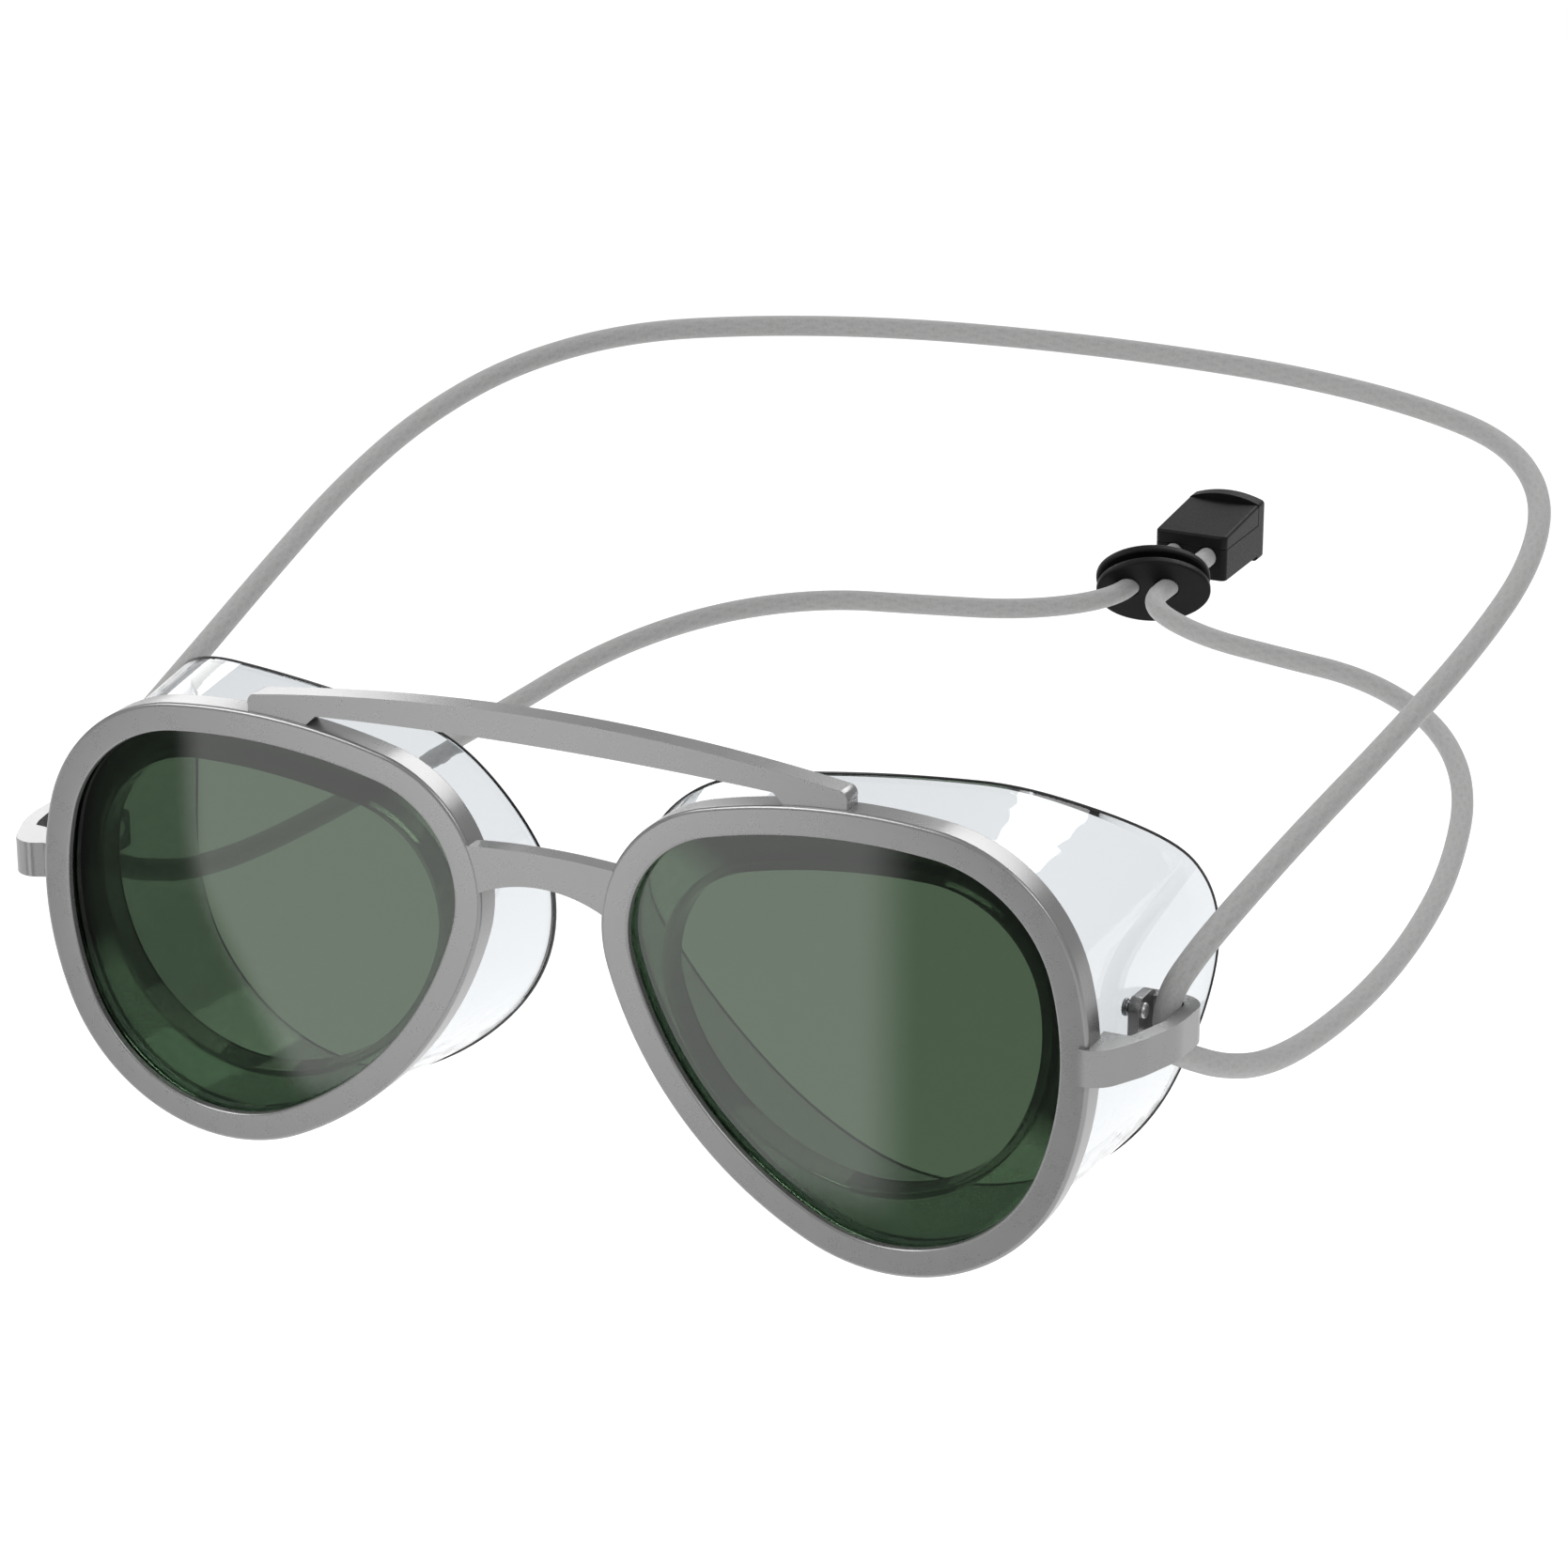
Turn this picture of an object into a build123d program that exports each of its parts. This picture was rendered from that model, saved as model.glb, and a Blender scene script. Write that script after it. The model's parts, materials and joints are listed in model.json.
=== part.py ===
from build123d import *
import os
from math import cos, radians, sin, tan

# Welding goggles with two green filter lenses, clear eye cups and an elastic head cord.
# Millimetres, +Z up. The wearer looks along -Y, so -Y is the front and +X the wearer's left.
# The origin is the middle of the nose bridge's rear face.

# ---- Driving dimensions ----
EYE_X = 41.0               # centre of an eyepiece, out from the middle
EYE_Z = -14.5              # and below the middle of the bridge
RIM_DEPTH = 4.0            # front to back, ending at Y = 0
RIM_FACE = 3.8             # width of the rim's front face
LIP = 1.1                  # thickness of the front lip that holds the lens
SEAT = 1.6                 # how far the lens seat is cut out beyond the opening

GASKET = 0.4               # thickness of the seal behind the lip
LENS = 2.2                 # thickness of the filter lens
FIT = 0.15                 # gap round the lens, gasket and cup in the seat

RETAINER_OUT = 1.25        # retainer behind the lens, beyond the opening of the rim
RETAINER_PLATE = 1.0
COLLAR_WALL = 1.0          # collar round the retainer's own opening
COLLAR_DEPTH = 4.2

CUP_GROW = 2.5             # outside of the cup, beyond the opening, at the rim
CUP_WALL = 1.1
CUP_FLANGE = 0.8           # thickness of the cup's flange, behind the retainer
CUP_FLANGE_IN = 0.3        # inner edge of that flange
CUP_REACH = 42.0           # depth at which the flare below is reached
CUP_FLARE = 5.9            # how much the cup has grown at that depth
CUP_DRIFT = (-3.2, 2.3)    # and how far it has moved, outward and up

CORD_D = 3.2
CORD_GAP = 0.1             # radial gap where a bore lets the cord slide

LUG_T = 2.0                # band of the strap lug
LUG_H = 4.8
LUG_Z = -11.8              # middle of the band
# Each lug's middle line, its bend radii and the gusset at its root, as (distance out, depth).
LEFT_LUG_LINE = [(72.2, -3.6), (74.6, -3.5), (77.5, 1.9), (79.5, 8.0), (79.8, 15.7), (73.6, 15.7)]
LEFT_LUG_BENDS = (3.4, 8, 8, 2.4)
LEFT_LUG_ROOT = [(73.0, -2.5), (75.1, -2.5), (77.4, 1.9), (73.0, 1.9)]
RIGHT_LUG_LINE = [
    (72.2, -1.4), (76.0, 1.5), (79.5, -0.2), (82.4, 6.5), (83.1, 10.2), (83.0, 15.7), (73.6, 15.7),
]
RIGHT_LUG_BENDS = (1.5, 2.0, 8, 12, 2.4)
RIGHT_LUG_ROOT = [
    (73.0, -1.0), (76.0, 1.5), (79.3, 0.3), (81.0, 3.5), (81.9, 5.6), (79.4, 5.4), (77.6, 4.4), (73.0, 2.6),
]
EAR_IN = 72.65             # inner face of the lug's ear, from the middle
EAR_T = 1.6
EAR_FRONT = 10.0           # the ear's front, back and top
EAR_BACK = 15.9
EAR_TOP = -8.5
EAR_ROUND = 1.6            # radius of its two upper corners
RIVET_Y = 11.6
RIVET_Z = -10.2
RIVET_R = 0.8
HEAD_R = 1.0               # the rivet's domed head, outside the ear
HEAD_T = 0.5
WASHER_IN = 71.1           # its washer starts here, inside the cup
WASHER_R = 1.1
WASHER_T = 0.4

LOCK_Y = 204.7             # middle of the cord lock
LOCK_Z = -22.5
LOCK_T = 4.6
LOCK_A = 9.2               # half its width and half its height
LOCK_B = 6.3
LOCK_YAW = 23.0            # how far the spool stands askew on the strands, in degrees
LOCK_PITCH = 22.0
STRAND_X = 2.9             # each cord strand in the lock, from the middle

BLOCK_Y = 221.1            # front face of the end block
BLOCK_L = 15.4             # from there to its end plate
BLOCK_W = 12.4
BLOCK_H = 7.5
BLOCK_WALL = 0.9
BLOCK_FRONT = 1.4          # its front wall, which the cord passes through
LID_H = 2.2
END_PLATE = 2.6            # thickness of the end plate
END_LOW = 0.9              # how far the plate stands below the block
END_SIDE = 1.4             # and above it, at the sides and in the middle
END_CREST = 2.6
CORD_END_Y = 225.4

# ---- Outlines of one eyepiece: six tangent arcs each, anticlockwise from the bottom ----
# Of the six radii, the fourth and the last are None: they are the ones that close the outline.
RIM_OPENING = {
    "heading": -25.4,                  # degrees, where the bottom arc starts
    "start": (-3.0, -24.1),            # its first point, outward and up from the eye centre
    "turns": (94.0, 36.0, 69.0, 21.0, 92.0, 48.0),
    "radii": (21.3, 40.0, 18.3, None, 14.5, None),
}
RETAINER_OPENING = {
    "heading": -9.0,
    "start": (-0.8, -20.2),
    "turns": (70.5, 38.0, 79.0, 15.0, 92.5, 65.0),
    "radii": (22.0, 27.0, 15.5, None, 14.6, None),
}

# ---- Rear edge of the cups: depth behind the rim, against the distance outward ----
EDGE_HEIGHT = 38.0                     # of the two rows below, above and below the eye centre
CUP_EDGE_TOP = [
    (-46, -8), (-38, -4.5), (-24, 2.8), (-8, 5.5), (8, 8.4),
    (18, 12), (26, 19), (32, 33), (38, 61), (46, 100),
]
CUP_EDGE_LOW = [
    (-46, 39), (-38, 36), (-24, 29.7), (-8, 27), (8, 29),
    (18, 31.5), (26, 33.5), (32, 33), (38, 30), (46, 26),
]

# ---- Head cord: the half on the wearer's left, from the end block to the middle of the back ----
CORD_HALF = [
    (2.9, CORD_END_Y, LOCK_Z),         # inside the end block
    (2.9, 193.8, LOCK_Z),              # in front of the cord lock
    (14.9, 186.3, -23.8),              # lower strand
    (29.9, 181.3, -23.5),
    (46.1, 176.5, -23.2),
    (61.0, 165.8, -24.8),
    (71.5, 148.4, -27.6),
    (76.9, 125.0, -31.2),
    (79.5, 102.2, -32.4),
    (80.5, 79.9, -32.4),
    (80.3, 57.7, -30.8),
    (79.8, 40.6, -27.7),
    (79.4, 26.6, -22.6),
    (77.9, 18.0, -18.2),
    (76.9, 12.3, -14.9),               # down through the lug
    (76.9, 12.3, -8.4),
    (78.2, 18.9, -4.7),                # upper strand
    (79.5, 30.5, -1.8),
    (81.4, 48.1, 1.9),
    (84.4, 72.1, 6.6),
    (87.0, 98.0, 11.9),
    (87.0, 121.8, 16.3),
    (82.2, 142.7, 19.9),
    (71.2, 159.6, 22.0),
    (54.2, 171.0, 22.3),
    (33.7, 178.2, 22.5),
    (11.3, 181.2, 22.5),
]


def closed_radii(outline):
    """Radii of the six arcs, with the two open ones solved so that the outline closes."""
    steps = []
    angle = radians(outline["heading"])
    for turn in outline["turns"]:
        after = angle + radians(turn)
        steps.append((sin(after) - sin(angle), cos(angle) - cos(after)))
        angle = after
    radii = list(outline["radii"])
    du = -sum(radii[i] * steps[i][0] for i in range(6) if radii[i])
    dz = -sum(radii[i] * steps[i][1] for i in range(6) if radii[i])
    (a, b), (c, d) = steps[3], steps[5]
    det = a * d - b * c
    radii[3] = (du * d - dz * c) / det
    radii[5] = (a * dz - b * du) / det
    return radii


def eye_face(grow, y, drift=(0, 0), outline=RIM_OPENING):
    """Face inside an outline, grown by grow, across Y = y, on the wearer's left."""
    heading = outline["heading"]
    start = outline["start"]
    point = Vector(
        EYE_X + start[0] + drift[0] + grow * sin(radians(heading)),
        EYE_Z + start[1] + drift[1] - grow * cos(radians(heading)),
    )
    arcs = []
    for turn, radius in zip(outline["turns"], closed_radii(outline)):
        tangent = (cos(radians(heading)), sin(radians(heading)))
        arc = JernArc(start=point, tangent=tangent, radius=radius + grow, arc_size=turn)
        arcs.append(arc)
        point = arc @ 1
        heading += turn
    plane = Plane(origin=(0, y, 0), x_dir=(1, 0, 0), z_dir=(0, -1, 0))
    return plane * make_face(arcs)


def slab(grow, front, back, outline=RIM_OPENING):
    """Solid between two depths, with an outline grown by grow."""
    face = eye_face(grow, front, outline=outline)
    return extrude(face, amount=back - front, dir=(0, 1, 0))


def ring(outer, inner, front, back):
    return slab(outer, front, back) - slab(inner, front, back)


def edges_at(part, y):
    """Edges that lie flat at the depth y."""
    return part.edges().filter_by_position(Axis.Y, y - 0.01, y + 0.01)


# ---- Eyepieces, all made for the wearer's left ----
def filled_rim():
    """The rim without its opening."""
    rim = slab(RIM_FACE, -RIM_DEPTH, 0)
    rim = fillet(edges_at(rim, -RIM_DEPTH), 0.5)
    return fillet(edges_at(rim, 0), 0.4)


def make_rim():
    rim = filled_rim()
    rim -= slab(0, -RIM_DEPTH - 1, -RIM_DEPTH + LIP)
    rim -= slab(SEAT, -RIM_DEPTH + LIP, 1)
    return rim


def make_gasket():
    front = -RIM_DEPTH + LIP
    return ring(SEAT - FIT, 0.3, front, front + GASKET)


def make_lens():
    front = -RIM_DEPTH + LIP + GASKET
    return slab(SEAT - FIT, front, front + LENS)


def make_retainer():
    """Plate behind the lens, with a collar round its opening."""
    front = -RIM_DEPTH + LIP + GASKET + LENS
    plate = slab(RETAINER_OUT, front, front + RETAINER_PLATE)
    collar = slab(COLLAR_WALL, front, front + COLLAR_DEPTH, RETAINER_OPENING)
    return plate + collar - slab(0, front - 1, front + COLLAR_DEPTH + 1, RETAINER_OPENING)


def cup_section(grow, y):
    """Section of the cup at depth y, where it has flared and drifted by then."""
    part_way = y / CUP_REACH
    drift = (CUP_DRIFT[0] * part_way, CUP_DRIFT[1] * part_way)
    return eye_face(grow + CUP_FLARE * part_way, y, drift)


def behind_edge(points, z):
    """Face at height z of everything behind the cup's rear edge."""
    first, last = points[0][0], points[-1][0]
    places = [(u - first) / (last - first) for u, y in points]
    line = Edge.make_spline([(EYE_X + u, y) for u, y in points], parameters=places)
    far = CUP_REACH + 70
    close = Polyline(line @ 1, (EYE_X + last, far), (EYE_X + first, far), line @ 0)
    return Plane.XY.offset(z) * make_face([line, close])


def make_cup():
    """Clear cup: a flared wall, thin all round, and a flange that holds the retainer."""
    flange_front = RETAINER_PLATE - (RIM_DEPTH - LIP - GASKET - LENS) + 0.1
    inner = CUP_GROW - CUP_WALL
    cup = loft([cup_section(CUP_GROW, 0), cup_section(CUP_GROW, CUP_REACH)], ruled=True)
    cup -= loft([cup_section(inner, 0), cup_section(inner, CUP_REACH + 1)], ruled=True)
    cup += ring(inner + 0.3, CUP_FLANGE_IN, flange_front, flange_front + CUP_FLANGE)
    above = behind_edge(CUP_EDGE_TOP, EYE_Z + EDGE_HEIGHT)
    below = behind_edge(CUP_EDGE_LOW, EYE_Z - EDGE_HEIGHT)
    cup -= loft([below, above], ruled=True)
    return cup - rivet_hole()


# ---- Strap lug and its rivet ----
def across_x(x, y, z, radius, length):
    """Cylinder along X, starting at x."""
    return Plane(origin=(x, y, z), z_dir=(1, 0, 0)) * Cylinder(
        radius, length, align=(Align.CENTER, Align.CENTER, Align.MIN)
    )


def rivet_hole():
    return across_x(EYE_X + 25, RIVET_Y, RIVET_Z, RIVET_R + 0.05, 12)


def make_lug(line, radii, root):
    """Loop for the cord: a band from the rim, round behind the cord, to an ear on the cup."""
    path = Plane.XY.offset(LUG_Z) * FilletPolyline(*line, radius=radii)
    start = Plane(origin=path @ 0, x_dir=(0, 1, 0), z_dir=path % 0)
    band = sweep(start * Rectangle(LUG_T, LUG_H), path=path)
    foot = LUG_Z - LUG_H / 2
    band += extrude(Plane.XY.offset(foot) * make_face(Polyline(*root, root[0])), amount=LUG_H)
    ear = Rectangle(EAR_BACK - EAR_FRONT, EAR_TOP - foot)
    ear = fillet(ear.vertices().group_by(Axis.Y)[-1], EAR_ROUND)
    middle = (EAR_IN, (EAR_FRONT + EAR_BACK) / 2, (EAR_TOP + foot) / 2)
    ear = extrude(Plane(origin=middle, x_dir=(0, 1, 0), z_dir=(1, 0, 0)) * ear, amount=EAR_T)
    wall = loft([cup_section(CUP_GROW, 0), cup_section(CUP_GROW, CUP_REACH)], ruled=True)
    return band + ear - slab(RIM_FACE, -RIM_DEPTH, 0) - wall - rivet_hole()


def make_rivet():
    """Rivet through the ear and the cup, with a washer inside the cup."""
    face = EAR_IN + EAR_T
    shank = across_x(WASHER_IN + 0.1, RIVET_Y, RIVET_Z, RIVET_R, face - WASHER_IN)
    washer = across_x(WASHER_IN, RIVET_Y, RIVET_Z, WASHER_R, WASHER_T)
    head = across_x(face, RIVET_Y, RIVET_Z, HEAD_R, HEAD_T)
    head = fillet(head.edges().filter_by(GeomType.CIRCLE).group_by(Axis.X)[-1], 0.4)
    return shank + washer + head


# ---- Brow bar and bridge, cut to sit on the rims ----
def bar_between(top, bottom, front, back):
    """Bar along X between an upper and a lower arc, each given by its end and its middle."""
    (x_top, z_top, crest), (x_low, z_low, belly) = top, bottom
    upper = ThreePointArc((-x_top, z_top), (0, crest), (x_top, z_top))
    lower = ThreePointArc((-x_low, z_low), (0, belly), (x_low, z_low))
    ends = [Line(upper @ 1, lower @ 1), Line(upper @ 0, lower @ 0)]
    plane = Plane(origin=(0, front, 0), x_dir=(1, 0, 0), z_dir=(0, -1, 0))
    return extrude(plane * make_face([upper, lower, *ends]), amount=back - front, dir=(0, 1, 0))


def make_brow_bar(rims):
    bar = bar_between((41.2, 17.7, 20.8), (42.4, 15.5, 17.0), -3.5, -0.4)
    bar = fillet(bar.edges().filter_by(Axis.Y), 1.0)
    for side in (-1, 1):
        foot = Polyline((31, 16.9), (33.5, 14.5), (41.6, 14.5), (41.6, 16.2), (31, 16.9))
        foot = Plane(origin=(0, -3.5, 0), x_dir=(side, 0, 0), z_dir=(0, -side, 0)) * make_face(foot)
        bar += extrude(foot, amount=3.1, dir=(0, 1, 0))
    return bar - rims


def make_bridge(rims):
    """Flat in front with the rims; its upper rear edge is rounded off."""
    bar = bar_between((11.5, 2.4, 3.0), (11.0, -4.9, -1.5), 0.05 - RIM_DEPTH, 0)
    rear_top = edges_at(bar, 0).sort_by(Axis.Z)[-1]
    return fillet(rear_top, 1.8) - rims


# ---- Cord, cord lock and end block ----
def cord_points():
    other_side = [(-x, y, z) for x, y, z in reversed(CORD_HALF)]
    return [Vector(*point) for point in CORD_HALF + other_side]


def make_cord():
    """Tube of straight runs joined by arcs as large as their runs allow."""
    points = cord_points()
    radii = []
    for before, here, after in zip(points, points[1:], points[2:]):
        turn = (here - before).get_angle(after - here)
        shorter = min((here - before).length, (after - here).length)
        radii.append(0.45 * shorter / tan(radians(turn / 2)))
    path = FilletPolyline(*points, radius=radii)
    section = Plane(origin=path @ 0, z_dir=path % 0) * Circle(CORD_D / 2)
    cord = sweep(section, path=path)
    print("cord bend radii", [round(radius, 1) for radius in radii])
    print("cord length", round(path.length, 1), "volume over section", round(cord.volume / section.area, 1))
    return cord


def along_y(x, y, z, radius, length):
    """Cylinder along Y, starting at y."""
    return Plane(origin=(x, y, z), z_dir=(0, 1, 0)) * Cylinder(
        radius, length, align=(Align.CENTER, Align.CENTER, Align.MIN)
    )


def strand_bores(y, length):
    radius = CORD_D / 2 + CORD_GAP
    return [along_y(x, y, LOCK_Z, radius, length) for x in (-STRAND_X, STRAND_X)]


def make_cord_lock():
    """Oval spool: two flanges on a narrower waist, askew on the two strands that pass through it."""
    flange = 1.5
    front = Plane(origin=(0, -LOCK_T / 2, 0), x_dir=(1, 0, 0), z_dir=(0, -1, 0))
    oval = extrude(front * Ellipse(LOCK_A, LOCK_B), amount=flange, dir=(0, 1, 0))
    oval = fillet(oval.edges(), 0.4)
    waist = extrude(front * Ellipse(LOCK_A - 1.7, LOCK_B - 1.7), amount=LOCK_T - 1, dir=(0, 1, 0))
    lock = oval + Pos(0, 0.5, 0) * waist + Pos(0, LOCK_T - flange, 0) * oval
    lock = Pos(0, LOCK_Y, LOCK_Z) * Rot(0, 0, LOCK_YAW) * Rot(LOCK_PITCH, 0, 0) * lock
    for bore in strand_bores(LOCK_Y - LOCK_A, 2 * LOCK_A):
        lock -= bore
    return lock


def block_box(inset, z_low, z_high, front):
    """Box along the end block, inset from its sides and its back."""
    length = BLOCK_L - inset - front
    middle = (0, BLOCK_Y + front + length / 2, (z_low + z_high) / 2)
    return Pos(*middle) * Box(BLOCK_W - 2 * inset, length, z_high - z_low)


def make_end_plate():
    """Plate across the back of the block, arched on top and a little deeper below."""
    half = BLOCK_W / 2
    low = LOCK_Z - BLOCK_H / 2 - END_LOW
    top = LOCK_Z + BLOCK_H / 2
    arch = ThreePointArc((half, top + END_SIDE), (0, top + END_CREST), (-half, top + END_SIDE))
    sides = Polyline(arch @ 1, (-half, low), (half, low), arch @ 0)
    plane = Plane(origin=(0, BLOCK_Y + BLOCK_L, 0), x_dir=(1, 0, 0), z_dir=(0, -1, 0))
    plate = extrude(plane * make_face([arch, sides]), amount=END_PLATE, dir=(0, 1, 0))
    return fillet(plate.edges().filter_by(Axis.Y), 0.7)


def make_block_body():
    low = LOCK_Z - BLOCK_H / 2
    split = LOCK_Z + BLOCK_H / 2 - LID_H
    body = block_box(0, low, split, 0)
    body = fillet(body.edges().filter_by(Axis.Z).group_by(Axis.Y)[0], 1.0)
    body -= block_box(BLOCK_WALL, low + BLOCK_WALL, split + 1, BLOCK_FRONT)
    body += make_end_plate()
    for bore in strand_bores(BLOCK_Y - 1, BLOCK_FRONT + 2):
        body -= bore
    return body


def make_block_lid():
    """Cover of the block, with a top that rises to meet the end plate."""
    split = LOCK_Z + BLOCK_H / 2 - LID_H
    top = LOCK_Z + BLOCK_H / 2
    rear = BLOCK_Y + BLOCK_L
    side = Polyline((BLOCK_Y, split), (rear, split), (rear, top + END_SIDE), (BLOCK_Y, top), (BLOCK_Y, split))
    lid = extrude(Plane.YZ.offset(-BLOCK_W / 2) * make_face(side), amount=BLOCK_W)
    lid = fillet(lid.edges().filter_by(Axis.Z).group_by(Axis.Y)[0], 1.0)
    upper = [e for e in lid.edges() if e.center().Z > top - 0.05 and e.center().Y < rear - 0.05]
    lid = fillet(upper, 0.5)
    lid -= block_box(BLOCK_WALL, split - 1, top - BLOCK_WALL, BLOCK_FRONT)
    for bore in strand_bores(BLOCK_Y - 1, BLOCK_FRONT + 2):
        lid -= bore
    return lid


def make_crimps():
    """Closed sleeves on the two ends of the cord, inside the end block."""
    start = BLOCK_Y + BLOCK_FRONT + 0.1
    crimps = []
    length = CORD_END_Y + 0.8 - start
    for x in (-STRAND_X, STRAND_X):
        sleeve = along_y(x, start, LOCK_Z, 2.15, length)
        crimps.append(sleeve - along_y(x, start - 1, LOCK_Z, CORD_D / 2 + 0.05, length + 0.3))
    return Compound(children=crimps)


def main():
    os.makedirs("parts", exist_ok=True)
    rims = filled_rim()
    rims += mirror(rims, about=Plane.YZ)
    one_side = {                       # made for the wearer's left, and mirrored for the right
        "rim": make_rim(),
        "lens_gasket": make_gasket(),
        "filter_lens": make_lens(),
        "eye_cup": make_cup(),
        "lens_retainer": make_retainer(),
        "strap_lug": make_lug(LEFT_LUG_LINE, LEFT_LUG_BENDS, LEFT_LUG_ROOT),
        "lug_rivet": make_rivet(),
    }
    nodes = {
        "brow_bar": make_brow_bar(rims),
        "nose_bridge": make_bridge(rims),
        "head_cord": make_cord(),
        "cord_lock": make_cord_lock(),
        "end_block": make_block_body(),
        "end_block_lid": make_block_lid(),
        "cord_crimps": make_crimps(),
    }
    for name, part in one_side.items():
        nodes["left_" + name] = part
        nodes["right_" + name] = mirror(part, about=Plane.YZ)
    right_lug = make_lug(RIGHT_LUG_LINE, RIGHT_LUG_BENDS, RIGHT_LUG_ROOT)
    nodes["right_strap_lug"] = mirror(right_lug, about=Plane.YZ)
    for name, part in nodes.items():
        export_step(part, f"parts/{name}.step")


main()
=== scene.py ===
"""Looks for the welding goggles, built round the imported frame. Metres, +Z up, the wearer looks along -Y."""
import json
import math

import bmesh
import bpy
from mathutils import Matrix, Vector

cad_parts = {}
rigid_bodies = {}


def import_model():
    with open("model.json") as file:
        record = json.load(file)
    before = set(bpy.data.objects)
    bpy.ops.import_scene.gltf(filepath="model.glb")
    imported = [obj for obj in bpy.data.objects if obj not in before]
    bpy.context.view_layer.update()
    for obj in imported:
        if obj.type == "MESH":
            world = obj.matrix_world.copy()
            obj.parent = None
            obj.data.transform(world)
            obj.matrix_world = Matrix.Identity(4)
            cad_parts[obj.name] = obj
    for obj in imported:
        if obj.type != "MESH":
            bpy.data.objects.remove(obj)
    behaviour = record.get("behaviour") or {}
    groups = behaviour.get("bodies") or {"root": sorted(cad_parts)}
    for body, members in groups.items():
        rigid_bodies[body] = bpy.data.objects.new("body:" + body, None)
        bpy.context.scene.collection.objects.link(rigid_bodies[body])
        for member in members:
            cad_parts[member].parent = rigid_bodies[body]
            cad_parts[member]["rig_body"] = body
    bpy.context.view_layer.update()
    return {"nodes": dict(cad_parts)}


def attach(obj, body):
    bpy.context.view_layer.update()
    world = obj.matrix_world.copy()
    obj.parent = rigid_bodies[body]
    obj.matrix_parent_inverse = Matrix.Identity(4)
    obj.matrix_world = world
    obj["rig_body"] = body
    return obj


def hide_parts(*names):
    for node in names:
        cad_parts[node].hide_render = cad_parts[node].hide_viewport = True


MM = 0.001
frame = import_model()
nodes = frame["nodes"]
scene = bpy.context.scene


# ---- Camera ----
def make_camera():
    data = bpy.data.cameras.new("camera")
    data.lens = 112.13
    data.sensor_width = 36
    data.clip_start, data.clip_end = 0.01, 20
    camera = bpy.data.objects.new("camera", data)
    camera.location = (0.2696, -0.4987, 0.2198)
    camera.rotation_euler = (math.radians(69.76), 0, math.radians(25.51))
    scene.collection.objects.link(camera)
    scene.camera = camera


# ---- Node helpers ----
NOISE_RANGE = (0.25, 0.75)      # the stretch of a 0 to 1 value that spread and colours use, as noise lies in it


class Shader:
    """A material with one Principled shader, and short calls that add nodes in front of it."""

    def __init__(self, name, base, rough, **sockets):
        self.material = bpy.data.materials.new(name)
        self.material.use_nodes = True
        self.tree = self.material.node_tree
        self.bsdf = self.tree.nodes["Principled BSDF"]
        self.bsdf.inputs["Base Color"].default_value = (*base, 1)
        self.bsdf.inputs["Roughness"].default_value = rough
        for socket, value in sockets.items():
            self.bsdf.inputs[socket.replace("_", " ")].default_value = value

    def add(self, kind, **settings):
        node = self.tree.nodes.new(kind)
        for key, value in settings.items():
            setattr(node, key, value)
        return node

    def link(self, output, target):
        self.tree.links.new(output, target)

    def coordinates(self, output="Object"):
        return self.add("ShaderNodeTexCoord").outputs[output]

    def scaled(self, vector, scale):
        mapping = self.add("ShaderNodeMapping")
        mapping.inputs["Scale"].default_value = scale
        self.link(vector, mapping.inputs["Vector"])
        return mapping.outputs["Vector"]

    def noise(self, vector, scale, detail=3):
        noise = self.add("ShaderNodeTexNoise")
        noise.inputs["Scale"].default_value = scale
        noise.inputs["Detail"].default_value = detail
        self.link(vector, noise.inputs["Vector"])
        return noise.outputs["Fac"]

    def math(self, operation, first, second=None):
        node = self.add("ShaderNodeMath", operation=operation)
        for socket, value in zip(node.inputs, (first, second)):
            if value is None:
                continue
            if isinstance(value, (int, float)):
                socket.default_value = value
            else:
                self.link(value, socket)
        return node.outputs[0]

    def spread(self, value, low, high):
        """NOISE_RANGE mapped to low and high."""
        node = self.add("ShaderNodeMapRange")
        self.link(value, node.inputs["Value"])
        for name, number in zip(("From Min", "From Max", "To Min", "To Max"), (*NOISE_RANGE, low, high)):
            node.inputs[name].default_value = number
        return node.outputs["Result"]

    def colours(self, value, low_colour, high_colour):
        """NOISE_RANGE mapped to the way from one colour to the other."""
        ramp = self.add("ShaderNodeValToRGB")
        for element, colour, position in zip(ramp.color_ramp.elements, (low_colour, high_colour), NOISE_RANGE):
            element.color = (*colour, 1)
            element.position = position
        self.link(value, ramp.inputs["Fac"])
        return ramp.outputs["Color"]

    def bump(self, height, strength, distance):
        bump = self.add("ShaderNodeBump")
        bump.inputs["Strength"].default_value = strength
        bump.inputs["Distance"].default_value = distance
        self.link(height, bump.inputs["Height"])
        self.link(bump.outputs["Normal"], self.bsdf.inputs["Normal"])


# ---- Materials ----
def satin_metal():
    s = Shader("satin_metal", (0.27, 0.27, 0.27), 0.28, Metallic=0.7)
    place = s.coordinates()
    cloud = s.noise(place, 260)
    grain = s.noise(place, 5200, 2)
    mixed = s.math("ADD", s.math("MULTIPLY", cloud, 0.6), s.math("MULTIPLY", grain, 0.4))
    s.link(s.colours(cloud, (0.262, 0.262, 0.263), (0.276, 0.276, 0.275)), s.bsdf.inputs["Base Color"])
    s.link(s.spread(mixed, 0.26, 0.3), s.bsdf.inputs["Roughness"])
    s.bump(grain, 0.03, 0.00003)
    return s.material


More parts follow.
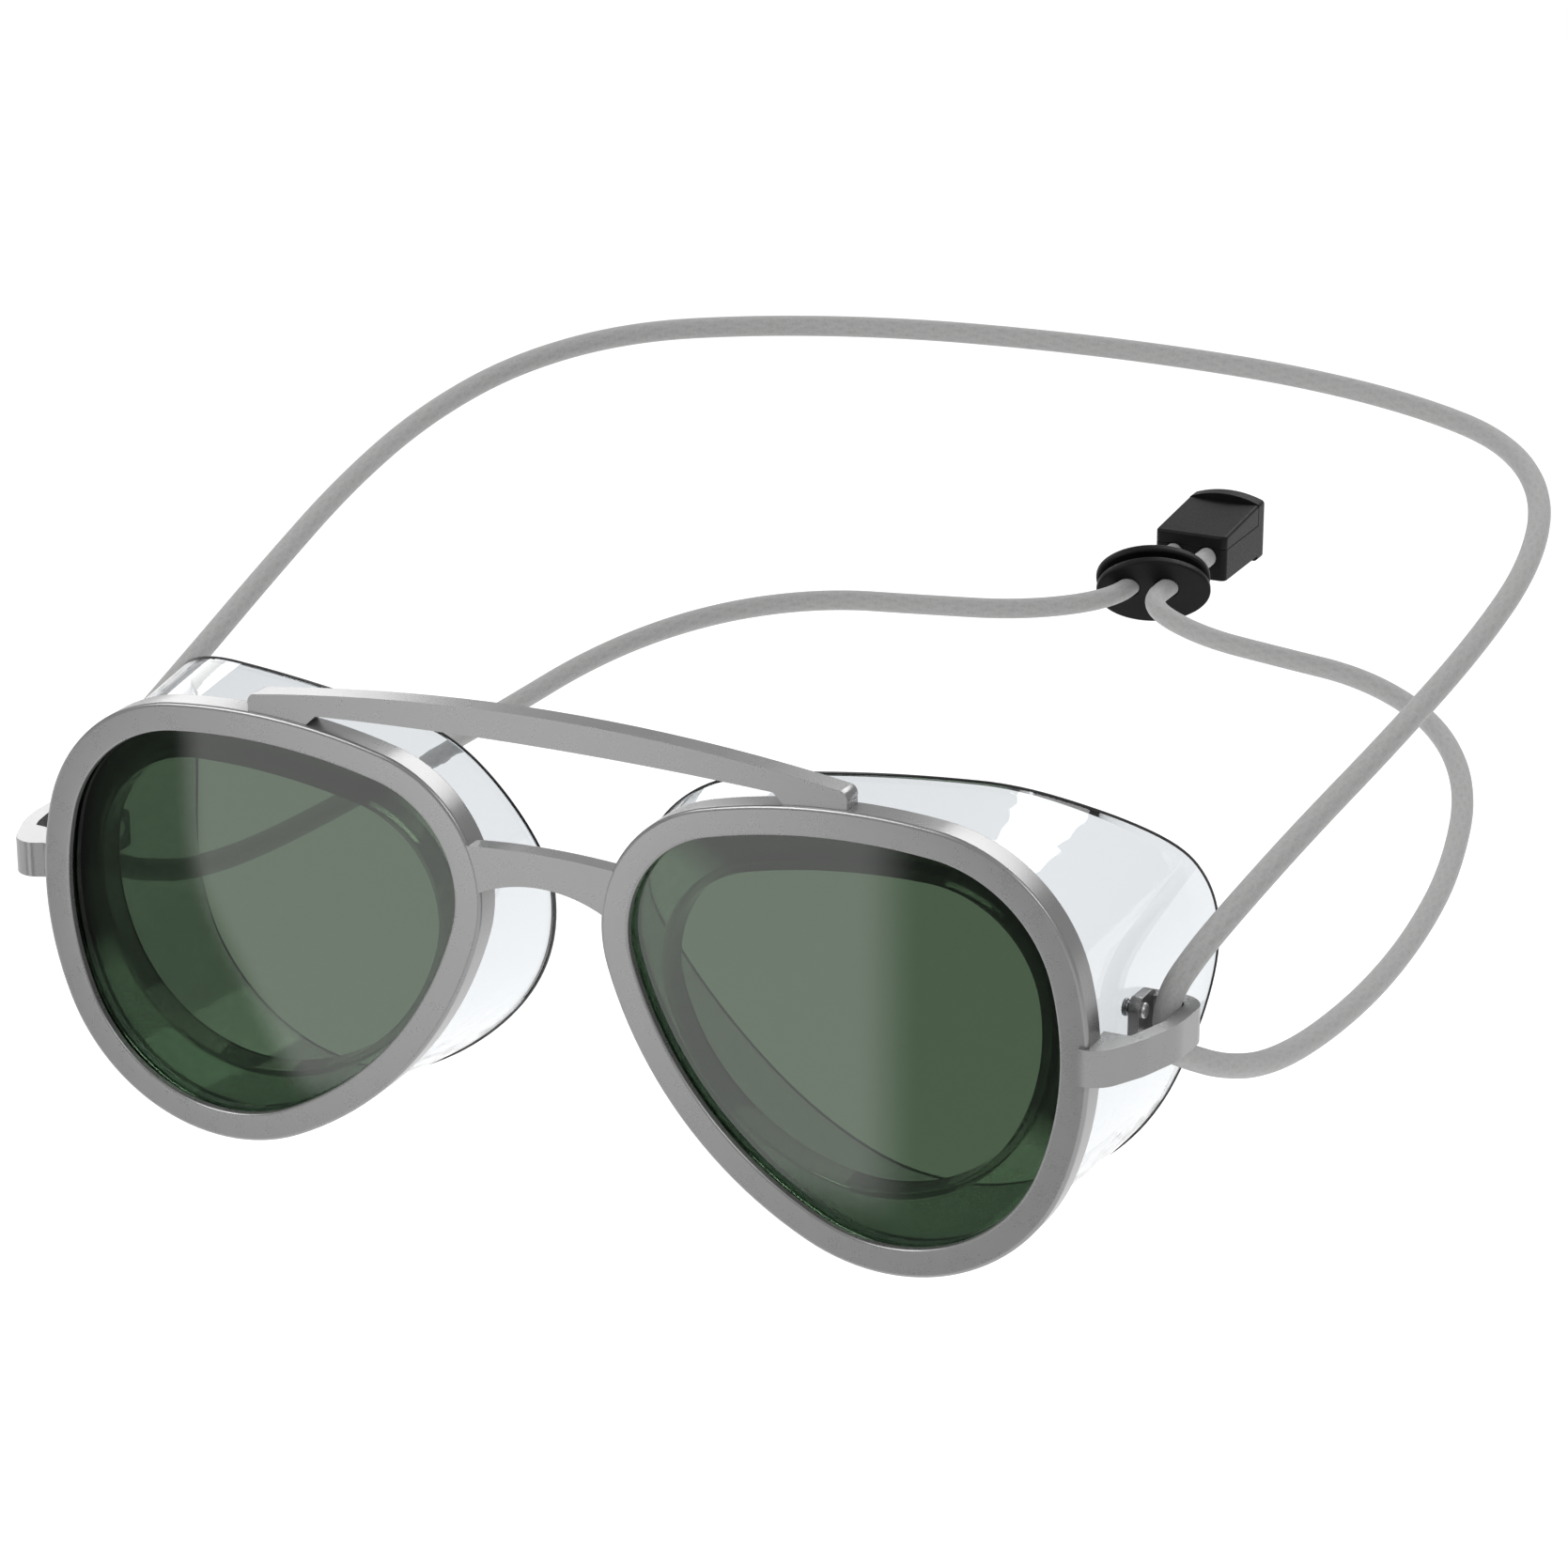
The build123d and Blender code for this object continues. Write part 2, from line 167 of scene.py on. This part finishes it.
def rivet_metal():
    s = Shader("rivet_metal", (0.6, 0.6, 0.6), 0.3, Metallic=0.6)
    place = s.coordinates()
    rings = s.noise(s.scaled(place, (1, 6, 6)), 1400, 2)
    s.link(s.colours(rings, (0.5, 0.5, 0.5), (0.64, 0.64, 0.64)), s.bsdf.inputs["Base Color"])
    s.link(s.spread(rings, 0.2, 0.36), s.bsdf.inputs["Roughness"])
    return s.material


def filter_glass():
    s = Shader("filter_glass", (0.055, 0.088, 0.052), 0.0, IOR=1.5)
    s.bsdf.inputs["Transmission Weight"].default_value = 1.0
    return s.material


def clear_plastic():
    s = Shader("clear_plastic", (0.68, 0.705, 0.725), 0.0, IOR=1.47)
    s.bsdf.inputs["Transmission Weight"].default_value = 1.0
    return s.material


def cup_edge_shade():
    """Painted shade: a black line along the rear edge of a cup, standing in for the dark edge that light
    bending in the clear plastic gives.
    """
    s = Shader("cup_edge_shade", (0.004, 0.004, 0.004), 0.5)
    s.link(s.spread(s.noise(s.coordinates(), 900), 0.28, 0.45), s.bsdf.inputs["Roughness"])
    return s.material


EYE_X = 0.041                               # the middle of each lens opening, in metres
# Painted shade on the retainer plate: its colour goes dark towards the brow and the temple.
SHADE_FROM, SHADE_TO = -0.014, -0.001       # the painted shade comes in between these heights, at that middle
SHADE_SLOPE = 0.6                           # how fast those heights fall towards the temple
PLATE_CLEAR, PLATE_SHADED = (0.8, 0.9, 0.81), (0.07, 0.08, 0.07)


def retainer_plastic():
    """Clear towards the nose and below, with painted shade towards the brow and the temple: the plate's colour
    goes dark there.
    """
    s = Shader("retainer_plastic", PLATE_CLEAR, 0.02, IOR=1.47)
    s.bsdf.inputs["Transmission Weight"].default_value = 1.0
    split = s.add("ShaderNodeSeparateXYZ")
    s.link(s.coordinates(), split.inputs[0])
    outward = s.math("SUBTRACT", s.math("ABSOLUTE", split.outputs["X"]), EYE_X)
    height = s.add("ShaderNodeMapRange")
    s.link(s.math("ADD", split.outputs["Z"], s.math("MULTIPLY", outward, SHADE_SLOPE)), height.inputs["Value"])
    height.inputs["From Min"].default_value = SHADE_FROM
    height.inputs["From Max"].default_value = SHADE_TO
    # Painted shade: the colour runs from clear to dark towards the brow and the temple.
    s.link(s.colours(height.outputs["Result"], PLATE_CLEAR, PLATE_SHADED), s.bsdf.inputs["Base Color"])
    return s.material


def collar_painted_shade():
    """The retainer's collar, tinted dark as painted shade: it stands in for the shade inside the collar."""
    # Painted shade: the dark base colour stands in for the shade that falls inside the collar.
    s = Shader("collar_painted_shade", (0.2, 0.22, 0.2), 0.05, IOR=1.47)
    s.bsdf.inputs["Transmission Weight"].default_value = 1.0
    return s.material


def gasket_rubber():
    s = Shader("gasket_rubber", (0.015, 0.015, 0.015), 0.7)
    grain = s.noise(s.coordinates(), 3000)
    s.link(s.spread(grain, 0.6, 0.8), s.bsdf.inputs["Roughness"])
    s.bump(grain, 0.2, 0.00005)
    return s.material


def black_plastic():
    s = Shader("black_plastic", (0.006, 0.006, 0.0065), 0.42)
    s.bsdf.inputs["Specular IOR Level"].default_value = 0.12
    place = s.coordinates()
    grain = s.noise(place, 2600, 4)
    cloud = s.noise(place, 300)
    s.link(s.colours(cloud, (0.0045, 0.0045, 0.005), (0.0075, 0.0075, 0.008)), s.bsdf.inputs["Base Color"])
    s.link(s.spread(grain, 0.34, 0.5), s.bsdf.inputs["Roughness"])
    s.bump(grain, 0.25, 0.00006)
    return s.material


STRANDS = 8     # of each family, round the cord


def braided_elastic():
    """Round braid: two families of strands that wind opposite ways and pass over and under."""
    s = Shader("braided_elastic", (0.33, 0.33, 0.33), 0.85)
    s.bsdf.inputs["Sheen Weight"].default_value = 0.25
    s.bsdf.inputs["Sheen Roughness"].default_value = 0.5
    split = s.add("ShaderNodeSeparateXYZ")
    s.link(s.coordinates("UV"), split.inputs[0])
    turn = s.math("MULTIPLY", split.outputs["X"], STRANDS * 2 * math.pi)
    along = s.math("MULTIPLY", split.outputs["Y"], 2 * math.pi)
    one = s.math("SINE", s.math("ADD", turn, along))
    other = s.math("SINE", s.math("SUBTRACT", turn, along))
    weave = s.math("MAXIMUM", one, other)
    fuzz = s.noise(s.coordinates(), 2400, 4)
    height = s.math("ADD", s.math("MULTIPLY", weave, 0.12), fuzz)
    s.link(s.colours(height, (0.285, 0.285, 0.283), (0.345, 0.345, 0.341)), s.bsdf.inputs["Base Color"])
    s.bump(height, 0.25, 0.0001)
    return s.material


# ---- Mesh helpers ----
JOIN_GAP = 1e-6                         # metres
FLAT_ANGLE = math.radians(0.4)          # faces that meet at less are one flat face
SHARP_ANGLE = math.radians(40)          # edges sharper than this are rounded


def new_object(name, verts, faces, material, body, replaced):
    mesh = bpy.data.meshes.new(name)
    mesh.from_pydata([tuple(v) for v in verts], [], faces)
    mesh.validate()
    obj = bpy.data.objects.new(name, mesh)
    scene.collection.objects.link(obj)
    mesh.materials.append(material)
    mesh.shade_smooth()
    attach(obj, body)
    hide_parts(replaced)
    return obj


def welded(node):
    """The CAD node's mesh as a bmesh with its doubled vertices joined."""
    bm = bmesh.new()
    bm.from_mesh(nodes[node].data)
    bmesh.ops.remove_doubles(bm, verts=bm.verts, dist=JOIN_GAP)
    return bm


def bake_modifiers(obj):
    """Puts the modifiers' result into the mesh."""
    bpy.context.view_layer.update()
    shown = obj.evaluated_get(bpy.context.evaluated_depsgraph_get())
    made = bpy.data.meshes.new_from_object(shown)
    obj.modifiers.clear()
    old = obj.data
    obj.data = made
    made.name = old.name
    bpy.data.meshes.remove(old)


def weight_normals(obj):
    """Keeps large flat faces flat in the shading."""
    obj.modifiers.new("normals", "WEIGHTED_NORMAL").weight = 90


def rounded_copy(node, name, material, width, segments=3):
    """A copy of a CAD node with its sharp edges rounded, by a bevel whose width is in mm."""
    bm = welded(node)
    bmesh.ops.dissolve_limit(bm, angle_limit=FLAT_ANGLE, verts=bm.verts, edges=bm.edges)
    bm.verts.index_update()
    verts = [v.co.copy() for v in bm.verts]
    faces = [[v.index for v in f.verts] for f in bm.faces]
    bm.free()
    obj = new_object(name, verts, faces, material, nodes[node]["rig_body"], node)
    bevel = obj.modifiers.new("round", "BEVEL")
    bevel.width = width * MM
    bevel.segments = segments
    bevel.limit_method = "ANGLE"
    bevel.angle_limit = SHARP_ANGLE
    bevel.use_clamp_overlap = True
    weight_normals(obj)
    bake_modifiers(obj)
    return obj


def thin_out(obj, gap):
    """Moves a flat piece's front and rear faces in by the gap, in metres, so that they touch nothing."""
    middle = sum(v.co.y for v in obj.data.vertices) / len(obj.data.vertices)
    for vert in obj.data.vertices:
        vert.co.y += gap if vert.co.y < middle else -gap


def keep(node, material):
    """Gives a CAD node that stays its finished material."""
    nodes[node].data.materials.clear()
    nodes[node].data.materials.append(material)


# ---- Head cord ----
CORD_D = 3.2            # mm
CORD_SIDES = 20
BRAID_PITCH = 4.4       # mm along the cord for one turn of the pattern
CORD_HALF = [           # the route of one half, in mm, from the end in the block to the mid-plane
    (2.9, 225.4, -22.5), (2.9, 207.5, -22.5), (2.9, 193.8, -22.5), (14.9, 186.3, -23.8),
    (29.9, 181.3, -23.5), (46.1, 176.5, -23.2), (61.0, 165.8, -24.8), (71.5, 148.4, -27.6),
    (76.9, 125.0, -31.2), (79.5, 102.2, -32.4), (80.5, 79.9, -32.4), (80.3, 57.7, -30.8),
    (79.8, 40.6, -27.7), (79.4, 26.6, -22.6), (77.9, 18.0, -18.2), (76.9, 12.3, -14.9), (76.9, 12.3, -8.4),
    (78.2, 18.9, -4.7), (79.5, 30.5, -1.8), (81.4, 48.1, 1.9), (84.4, 72.1, 6.6), (87.0, 98.0, 11.9),
    (87.0, 121.8, 16.3), (82.2, 142.7, 19.9), (71.2, 159.6, 22.0), (54.2, 171.0, 22.3), (33.7, 178.2, 22.5),
    (11.3, 181.2, 22.5),
]


def cord_route():
    """Points along the cord's smooth line, read from a NURBS spline through its route."""
    route = CORD_HALF + [(-x, y, z) for x, y, z in reversed(CORD_HALF)]
    data = bpy.data.curves.new("cord_route", "CURVE")
    data.dimensions = "3D"
    spline = data.splines.new("NURBS")
    spline.points.add(len(route) - 1)
    for point, place in zip(spline.points, route):
        point.co = (*(Vector(place) * MM), 1)
    spline.order_u = 3
    spline.use_endpoint_u = True
    spline.resolution_u = 24
    holder = bpy.data.objects.new("cord_route", data)
    scene.collection.objects.link(holder)
    bpy.context.view_layer.update()
    line = bpy.data.meshes.new_from_object(holder.evaluated_get(bpy.context.evaluated_depsgraph_get()))
    points = [v.co.copy() for v in line.vertices]
    bpy.data.objects.remove(holder)
    bpy.data.curves.remove(data)
    bpy.data.meshes.remove(line)
    return points


def cord_mesh(path):
    """A round tube along the path, with flat ends."""
    across = Vector((0, 0, 1))
    verts = []
    for i, centre in enumerate(path):
        ahead = (path[min(i + 1, len(path) - 1)] - path[max(i - 1, 0)]).normalized()
        across = (across - ahead * across.dot(ahead)).normalized()
        aside = ahead.cross(across)
        for k in range(CORD_SIDES):
            angle = 2 * math.pi * k / CORD_SIDES
            verts.append(centre + (across * math.cos(angle) + aside * math.sin(angle)) * (CORD_D / 2 * MM))
    faces = []
    for i in range(len(path) - 1):
        here, ahead = i * CORD_SIDES, (i + 1) * CORD_SIDES
        for k in range(CORD_SIDES):
            j = (k + 1) % CORD_SIDES
            faces.append((here + k, here + j, ahead + j, ahead + k))
    last = (len(path) - 1) * CORD_SIDES
    faces.append(list(range(CORD_SIDES - 1, -1, -1)))
    faces.append([last + k for k in range(CORD_SIDES)])
    return verts, faces


def lay_braid(mesh, path):
    """UV: U runs once round the cord, V along it in turns of the pattern."""
    reach = [0]
    for a, b in zip(path, path[1:]):
        reach.append(reach[-1] + (b - a).length)
    layer = mesh.uv_layers.new(name="braid")
    for face in mesh.polygons:
        wraps = face.index % CORD_SIDES == CORD_SIDES - 1
        for loop in face.loop_indices:
            ring, k = divmod(mesh.loops[loop].vertex_index, CORD_SIDES)
            turn = 1.0 if wraps and k == 0 else k / CORD_SIDES
            layer.data[loop].uv = (turn, reach[ring] / (BRAID_PITCH * MM))


def make_cord(material):
    path = cord_route()
    verts, faces = cord_mesh(path)
    obj = new_object("elastic_cord", verts, faces, material, "goggles", "head_cord")
    lay_braid(obj.data, path)


# ---- Rims and gaskets, lofted round the opening ----
RIM_SECTION = [   # distance out from the opening, Y and rounding of each corner, in mm
    (0.0, -4.0, 0.32), (3.8, -4.0, 0.5), (3.8, 0.0, 0.3),
    (1.6, 0.0, 0.15), (1.6, -2.9, 0.1), (0.0, -2.9, 0.12),
]
GASKET_SECTION = [   # likewise; it lies before the lens and wraps its edge
    (0.3, -2.88, 0.1), (1.58, -2.88, 0.05), (1.58, -0.1, 0.04),
    (1.47, -0.1, 0.04), (1.47, -2.47, 0.02), (0.3, -2.47, 0.1),
]


def rounded_section(corners, pieces=4):
    """The section's outline with an arc at each corner. Every corner is a right angle."""
    line = []
    for i, (a, b, radius) in enumerate(corners):
        here = Vector((a, b))
        before = (Vector(corners[i - 1][:2]) - here).normalized()
        after = (Vector(corners[(i + 1) % len(corners)][:2]) - here).normalized()
        centre = here + (before + after) * radius
        for k in range(pieces + 1):
            turn = math.pi / 2 * k / pieces
            line.append(centre - after * radius * math.cos(turn) - before * radius * math.sin(turn))
    return line


def closed_loops(edges):
    """The edges sorted into closed loops of vertices."""
    left = sorted(edges, key=lambda e: e.index)
    loops = []
    while left:
        edge = left.pop(0)
        loop = list(edge.verts)
        while True:
            follow = next((e for e in left if loop[-1] in e.verts), None)
            if follow is None:
                break
            left.remove(follow)
            loop.append(follow.other_vert(loop[-1]))
        loops.append(loop[:-1])
    return loops


def opening_loop(node):
    """The rim's opening on its front face, in order, with the outward direction at each point."""
    bm = welded(node)
    bm.edges.index_update()
    front = min(v.co.y for v in bm.verts)
    flat = {f for f in bm.faces if all(abs(v.co.y - front) < JOIN_GAP for v in f.verts)}
    border = [e for e in bm.edges if sum(f in flat for f in e.link_faces) == 1]
    loops = [[Vector((v.co.x, v.co.z)) for v in loop] for loop in closed_loops(border)]
    bm.free()
    points = min(loops, key=lambda l: max(p.x for p in l) - min(p.x for p in l))
    if sum(points[i - 1].cross(points[i]) for i in range(len(points))) < 0:
        points.reverse()
    outward = []
    for i in range(len(points)):
        back = (points[i] - points[i - 1]).normalized()
        ahead = (points[(i + 1) % len(points)] - points[i]).normalized()
        along = (back + ahead).normalized()
        outward.append(Vector((along.y, -along.x)))
    return points, outward


def tube_faces(count, size, first=0):
    """Faces of a closed tube of count rings, each with size vertices."""
    faces = []
    for i in range(count):
        j = (i + 1) % count
        for k in range(size):
            n = (k + 1) % size
            faces.append(tuple(first + v for v in (i * size + k, j * size + k, j * size + n, i * size + n)))
    return faces


def make_ring(opening, corners, node, name, material):
    """A section carried round the opening."""
    section = rounded_section(corners)
    size = len(section)
    verts = []
    for point, out in zip(*opening):
        for d, y in section:
            place = point + out * (d * MM)
            verts.append((place.x, y * MM, place.y))
    obj = new_object(name, verts, tube_faces(len(verts) // size, size), material, "goggles", node)
    bm = bmesh.new()
    bm.from_mesh(obj.data)
    bmesh.ops.recalc_face_normals(bm, faces=bm.faces)
    bm.to_mesh(obj.data)
    bm.free()
    weight_normals(obj)
    bake_modifiers(obj)


# ---- Cups, with a painted dark line along the rear edge, standing in for its shade ----
EDGE_LINE = 0.2                         # radius of that line, in mm
EDGE_SIDES = 8
EDGE_ANGLE = math.radians(50)           # the cup's edge is sharper than this
SMOOTH_ANGLE = math.radians(35)         # and its walls are shaded smooth up to this
CUP_FRONT = 4                           # Y in mm, and only edges behind it count


def make_cup(node, name, wall, line):
    """The CAD cup with a thin tube laid along its rear edge, which is the longest loop of sharp edges. The tube
    carries painted shade.
    """
    bm = welded(node)
    bm.verts.index_update()
    bm.edges.index_update()
    verts = [v.co.copy() for v in bm.verts]
    faces = [[v.index for v in f.verts] for f in bm.faces]
    sharp = [
        e for e in bm.edges
        if e.calc_face_angle(0) > EDGE_ANGLE and min(v.co.y for v in e.verts) > CUP_FRONT * MM
    ]
    loops = [[v.co.copy() for v in loop] for loop in closed_loops(sharp)]
    bm.free()
    loop = max(loops, key=lambda l: sum((l[i] - l[i - 1]).length for i in range(len(l))))
    centre = sum(loop, Vector()) / len(loop)
    first = len(verts)
    for i, point in enumerate(loop):
        along = (loop[(i + 1) % len(loop)] - loop[i - 1]).normalized()
        out = point - centre
        out = (out - along * out.dot(along)).normalized()
        up = along.cross(out)
        for k in range(EDGE_SIDES):
            turn = 2 * math.pi * k / EDGE_SIDES
            verts.append(point + (out * math.cos(turn) + up * math.sin(turn)) * (EDGE_LINE * MM))
    dark = len(faces)
    faces += tube_faces(len(loop), EDGE_SIDES, first)
    obj = new_object(name, verts, faces, wall, "goggles", node)
    # The second material is painted shade: the black line stands in for the dark edge of the clear wall.
    obj.data.materials.append(line)
    for face in obj.data.polygons[dark:]:
        face.material_index = 1
    obj.data.set_sharp_from_angle(angle=SMOOTH_ANGLE)


# ---- Retainers: a plate with painted shade towards the brow and temple, and a collar darkened as painted shade ----
BEHIND_PLATE = 0.9      # Y in mm


def make_retainer(node, name, plate, collar):
    """A rounded copy whose part behind the plate takes the collar's material."""
    obj = rounded_copy(node, name, plate, 0.15, 2)
    obj.data.materials.append(collar)
    for face in obj.data.polygons:
        if face.center.y > BEHIND_PLATE * MM:
            face.material_index = 1


# ---- Stage ----
FLOOR_HALF, FLOOR_Z = 9, -0.46


def make_floor():
    """A pale floor that glows a little, well below the goggles."""
    s = Shader("studio_floor", (0.55, 0.55, 0.55), 0.9)
    s.bsdf.inputs["Emission Color"].default_value = (1, 1, 1, 1)
    s.bsdf.inputs["Emission Strength"].default_value = 0.71
    mesh = bpy.data.meshes.new("studio_floor")
    corners = [(x * FLOOR_HALF, y * FLOOR_HALF, FLOOR_Z) for x, y in ((-1, -1), (1, -1), (1, 1), (-1, 1))]
    mesh.from_pydata(corners, [], [(0, 1, 2, 3)])
    floor = bpy.data.objects.new("studio_floor", mesh)
    mesh.materials.append(s.material)
    scene.collection.objects.link(floor)


def make_light(name, place, target, size, watts):
    data = bpy.data.lights.new(name, "AREA")
    data.shape = "RECTANGLE"
    data.size, data.size_y = size
    data.energy = watts
    lamp = bpy.data.objects.new(name, data)
    lamp.location = place
    lamp.rotation_euler = (Vector(target) - Vector(place)).to_track_quat("-Z", "Y").to_euler()
    scene.collection.objects.link(lamp)


def glow_material(name):
    """A material with one Emission shader, and that shader."""
    material = bpy.data.materials.new(name)
    material.use_nodes = True
    tree = material.node_tree
    tree.nodes.remove(tree.nodes["Principled BSDF"])
    glow = tree.nodes.new("ShaderNodeEmission")
    tree.links.new(glow.outputs[0], tree.nodes["Material Output"].inputs["Surface"])
    return material, glow


def make_card(name, material, x_range, z_range, y):
    """An upright card across Y that only reflections see."""
    left, right = x_range
    low, high = z_range
    mesh = bpy.data.meshes.new(name)
    mesh.from_pydata([(left, y, low), (right, y, low), (right, y, high), (left, y, high)], [], [(0, 1, 2, 3)])
    mesh.materials.append(material)
    card = bpy.data.objects.new(name, mesh)
    scene.collection.objects.link(card)
    card.visible_camera = card.visible_diffuse = card.visible_transmission = False
    card.visible_shadow = card.visible_volume_scatter = False


SOFTBOX_LEVEL = 2.2
SURROUND_LEVEL = 0.12
SOFTBOX_EDGES = [   # direction, and how far along it the light is full and then gone
    ((1, 0, 0), -0.232, -0.212),
    ((1, 0, 0), -0.432, -0.444),
    ((0, 0, 1), -0.335, -0.352),
    ((0, 0, 1), -0.12, -0.06),
    ((0.875, 0, 0.4845), -0.515, -0.527),
]


def make_reflector():
    """A softbox in a dark surround, in front, low and to the left. It shows in the lenses."""
    material, glow = glow_material("softbox")
    tree = material.node_tree
    place = tree.nodes.new("ShaderNodeTexCoord").outputs["Object"]
    shown = None
    for direction, inner, outer in SOFTBOX_EDGES:
        along = tree.nodes.new("ShaderNodeVectorMath")
        along.operation = "DOT_PRODUCT"
        tree.links.new(place, along.inputs[0])
        along.inputs[1].default_value = direction
        ramp = tree.nodes.new("ShaderNodeMapRange")
        ramp.interpolation_type = "SMOOTHSTEP"
        tree.links.new(along.outputs["Value"], ramp.inputs["Value"])
        ramp.inputs["From Min"].default_value = outer
        ramp.inputs["From Max"].default_value = inner
        if shown is None:
            shown = ramp.outputs["Result"]
            continue
        both = tree.nodes.new("ShaderNodeMath")
        both.operation = "MULTIPLY"
        tree.links.new(shown, both.inputs[0])
        tree.links.new(ramp.outputs["Result"], both.inputs[1])
        shown = both.outputs[0]
    level = tree.nodes.new("ShaderNodeMapRange")
    tree.links.new(shown, level.inputs["Value"])
    level.inputs["To Min"].default_value = SURROUND_LEVEL
    level.inputs["To Max"].default_value = SOFTBOX_LEVEL
    tree.links.new(level.outputs["Result"], glow.inputs["Strength"])
    make_card("reflector", material, (-0.62, -0.08), (-0.44, 0.05), -0.6)


def make_rear_card():
    """A bright card behind and to the left. It shows as a sheen on the lug there."""
    material, glow = glow_material("rear_card")
    glow.inputs["Strength"].default_value = 3.5
    make_card("rear_card", material, (-1.3, -0.66), (0.2, 0.75), 1.0)


WORLD_STRENGTH = 0.5
LIGHTS = [      # name, place, size, watts
    ("key", (-0.9, -0.9, 1.3), (0.9, 0.9), 14),
    ("fill", (1.1, -0.7, 1.1), (0.6, 0.6), 5),
    ("back", (0.2, 1.3, 1.0), (1.2, 0.6), 9),
]
LIGHT_TARGET = (0, 0.05, 0)


def make_world():
    world = bpy.data.worlds.new("studio")
    world.use_nodes = True
    world.node_tree.nodes["Background"].inputs["Color"].default_value = (1, 1, 1, 1)
    world.node_tree.nodes["Background"].inputs["Strength"].default_value = WORLD_STRENGTH
    scene.world = world


# ---- The scene: camera, pieces, stage ----
make_camera()
metal = satin_metal()
rivet = rivet_metal()
black = black_plastic()
clear = clear_plastic()
edge = cup_edge_shade()
glass = filter_glass()
retainer = retainer_plastic()
collar_shade = collar_painted_shade()
rubber = gasket_rubber()

rounded_copy("cord_lock", "lock_spool", black, 0.3)
rounded_copy("end_block", "clasp_block", black, 0.3)
rounded_copy("end_block_lid", "clasp_lid", black, 0.25)
keep("cord_crimps", rivet)
make_cord(braided_elastic())
for side in ("left_", "right_"):
    opening = opening_loop(side + "rim")
    make_ring(opening, RIM_SECTION, side + "rim", side + "eyepiece_rim", metal)
    make_ring(opening, GASKET_SECTION, side + "lens_gasket", side + "lens_seal", rubber)
    make_cup(side + "eye_cup", side + "side_shield", clear, edge)
    rounded_copy(side + "strap_lug", side + "cord_lug", metal, 0.25)
    rounded_copy(side + "lug_rivet", side + "rivet_and_washer", rivet, 0.1, 2)
    lens = rounded_copy(side + "filter_lens", side + "green_lens", glass, 0.15, 2)
    thin_out(lens, 0.06 * MM)
    make_retainer(side + "lens_retainer", side + "collar_ring", retainer, collar_shade)
rounded_copy("brow_bar", "upper_bar", metal, 0.3)
rounded_copy("nose_bridge", "lower_bridge", metal, 0.3)

make_floor()
make_reflector()
make_rear_card()
make_world()
for name, place, size, watts in LIGHTS:
    make_light(name, place, LIGHT_TARGET, size, watts)
scene.view_settings.view_transform = "Standard"
